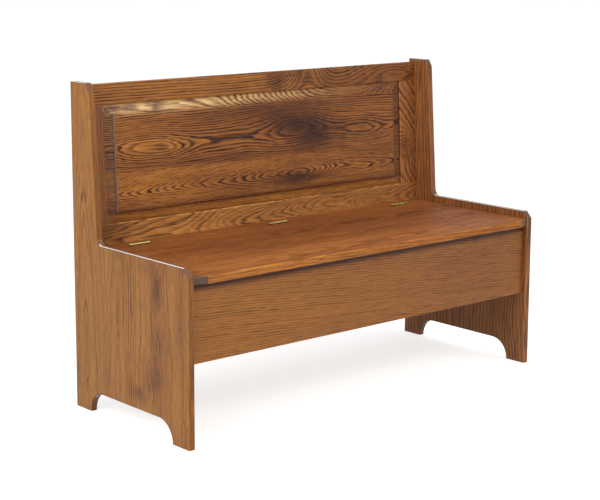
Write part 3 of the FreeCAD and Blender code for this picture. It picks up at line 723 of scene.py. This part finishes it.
# %% Finish the seat
lid_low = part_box("seat_lid")[0]
seat_boards = [
    (LOWEST, (-0.19, 0.330, 0.02), (-FAR, 0.02, 0.03), (150.0, 2.5, 1.06)),
    (-0.13, (-0.06, 0.340, -0.02), (-FAR, 0.03, 0.03), (150.0, 5.5, 1.0)),
    (0.0, (0.05, 0.350, 0.0), (-FAR, 0.02, 0.03), (150.0, 8.5, 0.95)),
    (0.11, (0.6, 0.1, 0.0), (-FAR, 0.01, 0.02), (150.0, 4.5, 0.95)),
]
seat_stains = [
    ((-0.30, -0.16), (0.34, 0.05), 0.22),
    ((0.20, 0.05), (0.45, 0.12), -0.20),
    ((0.10, -0.07), (0.35, 0.020), -0.16),
    ((-0.30, 0.02), (0.25, 0.04), -0.12),
    ((0.45, -0.254), (0.50, 0.012), -0.25),
    ((0.48, -0.10), (0.16, 0.16), -0.12),
]
finish(
    stained_oak("stained_oak_seat", "level, facing up", "#9c5e2f", "#5a2f18", seat_boards,
                # The light line along the lid's nose is a painted highlight.
                patches=seat_stains, lines=[(lid_low.y - 0.003, 0.008, 0.25)], contrast=0.8, shade=0.16,
                # edge=1.15 lightens the shaded front of the nose: painted light.
                fleck=0.10, edge=1.15, end_slanted="#66554c", rough=0.55, coat=0.0, shine=0.08),
    "seat_lid", "seat_rear_strip",
)

# %% Finish the apron and the back of the box
apron_boards = [(LOWEST, (0.85, 0.0, -0.08), (-FAR, 0.004, 0.012), (165.0, 3.0, 1.0))]
finish(
    stained_oak("stained_oak_apron", "level, facing the front", "#a0652d", "#593318", apron_boards,
                patches=[((-0.45, 0.33), (0.30, 0.12), 0.10), ((0.45, 0.30), (0.30, 0.20), -0.14)],
                # The dark line just under the lid is a painted shadow of the lid's nose.
                lines=[(lid_low.z - 0.009, 0.010, -0.84)], contrast=0.85, shade=0.06, fleck=0.08),
    "front_apron",
)
finish(
    stained_oak("stained_oak_box_back", "level, facing the front", "#a0652d", "#593318", apron_boards,
                contrast=0.85, shade=0.06, fleck=0.08),
    "box_back_board",
)

# %% [markdown]
# ## The inside of the box
# Nobody lacquers the inside of a seat box as they do the outside. It has one thin coat of stain.
# It is the same oak, so the same function draws it, with a paler stain and no clear coat.

# %% Finish the inside
inside_starts = ("floor_cleat", "seat_cleat", "corner_block", "lid_batten_left", "lid_batten_middle",
                 "lid_batten_right")
inside_names = [name for name in nodes if name.startswith(inside_starts)]
finish(
    stained_oak("thin_stained_oak", "level, facing up", "#a97f55", "#7d5836",
                [(LOWEST, (0.4, 0.1, 0.0), (-FAR, 0.01, 0.02), (220.0, 3.0, 1.0))],
                contrast=0.6, end_slanted="#7a5c40", end_square="#8a6b4b", rough=0.6, coat=0.0),
    *inside_names, "box_floor", "seat_strip_cleat",
)

# %% [markdown]
# ## Brass, steel and beech
# The butt hinges are rolled brass, a little dull: the rolls leave fine scratches along the sheet,
# and tarnish comes in spots. The screws are plain steel, and the dowels beech.
# Scratches could be cut as grooves. At this size it is enough that the metal is rougher in some
# streaks than in others, so a noise that is stretched along the sheet sets the roughness.

# %% Finish the metal
ROLL_MARK_MM = (16.67, 1.111)
TARNISH_MM = 11.11
TARNISH_FROM = 0.4      # the noise over which tarnish shows
TARNISHED = 0.62        # how much of its colour tarnished metal keeps


def metal(name, colour, rough, scratch):
    """Rolled sheet or drawn wire, with scratches that run one way and spots of tarnish."""
    material = bpy.data.materials.new(name)
    material.use_nodes = True
    tree = material.node_tree
    surface = tree.nodes["Principled BSDF"]
    where = add(tree, "ShaderNodeTexCoord").outputs["Object"]
    rolled = add(tree, "ShaderNodeVectorMath", {0: where, 1: per_metre(ROLL_MARK_MM)}, operation="MULTIPLY")
    marks = add(tree, "ShaderNodeTexNoise", {"Vector": rolled, "Scale": 1.0, "Detail": 3.0})
    spots = add(tree, "ShaderNodeTexNoise", {"Vector": where, "Scale": 1 / (TARNISH_MM * MM), "Detail": 4.0})
    dull = [c * TARNISHED for c in linear(colour)[:3]] + [1.0]
    tarnish_and_highlight = add(tree, "ShaderNodeMapRange",
               {"Value": spots, "From Min": TARNISH_FROM, "From Max": NOISE_HIGH})
    tint = add(tree, "ShaderNodeMix", {0: tarnish_and_highlight, 6: linear(colour), 7: dull}, data_type="RGBA").outputs[2]
    tree.links.new(tint, surface.inputs["Base Color"])
    gloss = add(tree, "ShaderNodeMapRange", {"Value": marks, "To Min": rough, "To Max": rough + scratch})
    tree.links.new(gloss.outputs[0], surface.inputs["Roughness"])
    surface.inputs["Metallic"].default_value = 1.0
    return material


brass_names = [name for name in nodes if name.startswith("hinge_") and name.endswith(("leaf", "pin"))]
screw_names = [name for name in nodes if "screws" in name]
finish(metal("rolled_brass", "#b5a16c", 0.3, 0.2), *brass_names)
finish(metal("plain_steel", "#b4b2ac", 0.35, 0.2), *screw_names)

# %% Finish the dowels
dowel_names = [name for name in nodes if "dowels" in name]
finish(
    stained_oak("plain_beech", "level, facing up", "#d2ab7c", "#b98d5f",
                [(LOWEST, (0.5, 0.0, 0.0), (-FAR, 0.0, 0.0), (500.0, 1.0, 1.0))], contrast=0.4,
                end_slanted="#b08a60", end_square="#b08a60", rough=0.7, coat=0.0),
    *dowel_names,
)

# %% [markdown]
# ## The studio
# The photograph has a white ground and a white wall that run into each other.
# A floor that the camera sees as white still has to hold the bench's soft shadow, so its
# material adds a white glow for what the camera sees, and the lamps do the rest.
# What the camera sees is more than its own rays: metal mirrors the studio and glass lets it
# through, so those rays count too.

# %% Lay the floor
FLOOR_SIZE = 40.0
PAPER = (0.78, 0.80)        # how much light the paper gives back, from cloud to cloud
PAPER_CLOUDS = 3.0          # as many across the whole floor
GLOW = 0.68


def seen_by_camera(tree):
    """One for what the camera sees, straight or in a mirror or through glass, and nothing for light."""
    ray = add(tree, "ShaderNodeLightPath")
    straight = add(tree, "ShaderNodeMath",
                   {0: ray.outputs["Is Camera Ray"], 1: ray.outputs["Is Glossy Ray"]}, operation="MAXIMUM")
    return add(tree, "ShaderNodeMath",
               {0: straight, 1: ray.outputs["Is Transmission Ray"]}, operation="MAXIMUM")


bpy.ops.object.select_all(action="DESELECT")
bpy.ops.mesh.primitive_plane_add(size=FLOOR_SIZE, location=(0, 0, 0))
floor = bpy.context.object
floor.name = "studio_floor"
floor.data.materials.clear()
paper = bpy.data.materials.new("white_paper_floor")
paper.use_nodes = True
tree = paper.node_tree
tree.nodes.clear()
clouds = add(tree, "ShaderNodeTexNoise", {"Scale": PAPER_CLOUDS, "Detail": 1.0})
white = add(tree, "ShaderNodeMapRange", {"Value": clouds, "To Min": PAPER[0], "To Max": PAPER[1]})
diffuse = add(tree, "ShaderNodeBsdfDiffuse", {"Color": white})
glow_level = add(tree, "ShaderNodeMath", {0: seen_by_camera(tree), 1: GLOW}, operation="MULTIPLY")
glow = add(tree, "ShaderNodeEmission", {"Strength": glow_level})
both = add(tree, "ShaderNodeAddShader", {0: diffuse, 1: glow})
add(tree, "ShaderNodeOutputMaterial", {"Surface": both})
floor.data.materials.append(paper)
print("floor", tuple(floor.dimensions))

# %% [markdown]
# ## The light
# The left side is the brightest, the fronts are a step darker, and the bevel over the raised
# panel shows a sheen from above, which is partly painted into its colour. Two large soft boxes
# light it, one at the left and one at the right front, with a weak one overhead and an even grey from all
# round.
# Small lamps or a sun would be simpler, but would cast hard shadows that a studio avoids.

# %% Hang the lamps
AIM = Vector((0, 0, 0.45))      # the middle of the bench


def soft_box(name, turn, rise, distance, size, power):
    """A rectangle of light that faces the bench, from an angle round it and an angle above it."""
    lamp = bpy.data.lights.new(name, "AREA")
    lamp.shape = "RECTANGLE"
    lamp.size, lamp.size_y = size
    lamp.energy = power
    turned, raised = math.radians(turn), math.radians(rise)
    out = Vector((
        math.sin(turned) * math.cos(raised),
        -math.cos(turned) * math.cos(raised),
        math.sin(raised),
    ))
    holder = bpy.data.objects.new(name, lamp)
    holder.location = AIM + out * distance
    holder.rotation_mode = "QUATERNION"
    holder.rotation_quaternion = out.to_track_quat("Z", "Y")
    bpy.context.scene.collection.objects.link(holder)
    print(name, [round(n, 2) for n in holder.location], power, "W")


soft_box("soft_box_left", -78.0, 30.0, 4.0, (2.4, 2.4), 66.0)
soft_box("soft_box_right_front", 22.0, 34.0, 4.2, (2.6, 1.4), 64.0)
soft_box("soft_box_over", 0.0, 80.0, 3.5, (3.0, 2.0), 26.0)

# %% Fill the room with even grey light
AIR_LIGHT = 0.45
WHITE = 1.0
world = bpy.data.worlds.new("studio_air")
world.use_nodes = True
bpy.context.scene.world = world
tree = world.node_tree
tree.nodes.clear()
level = add(tree, "ShaderNodeMapRange", {"Value": seen_by_camera(tree), "To Min": AIR_LIGHT, "To Max": WHITE})
air = add(tree, "ShaderNodeBackground", {"Color": (1.0, 1.0, 1.0, 1.0), "Strength": level})
add(tree, "ShaderNodeOutputWorld", {"Surface": air})
print("the room gives light at", AIR_LIGHT, "and looks", WHITE)
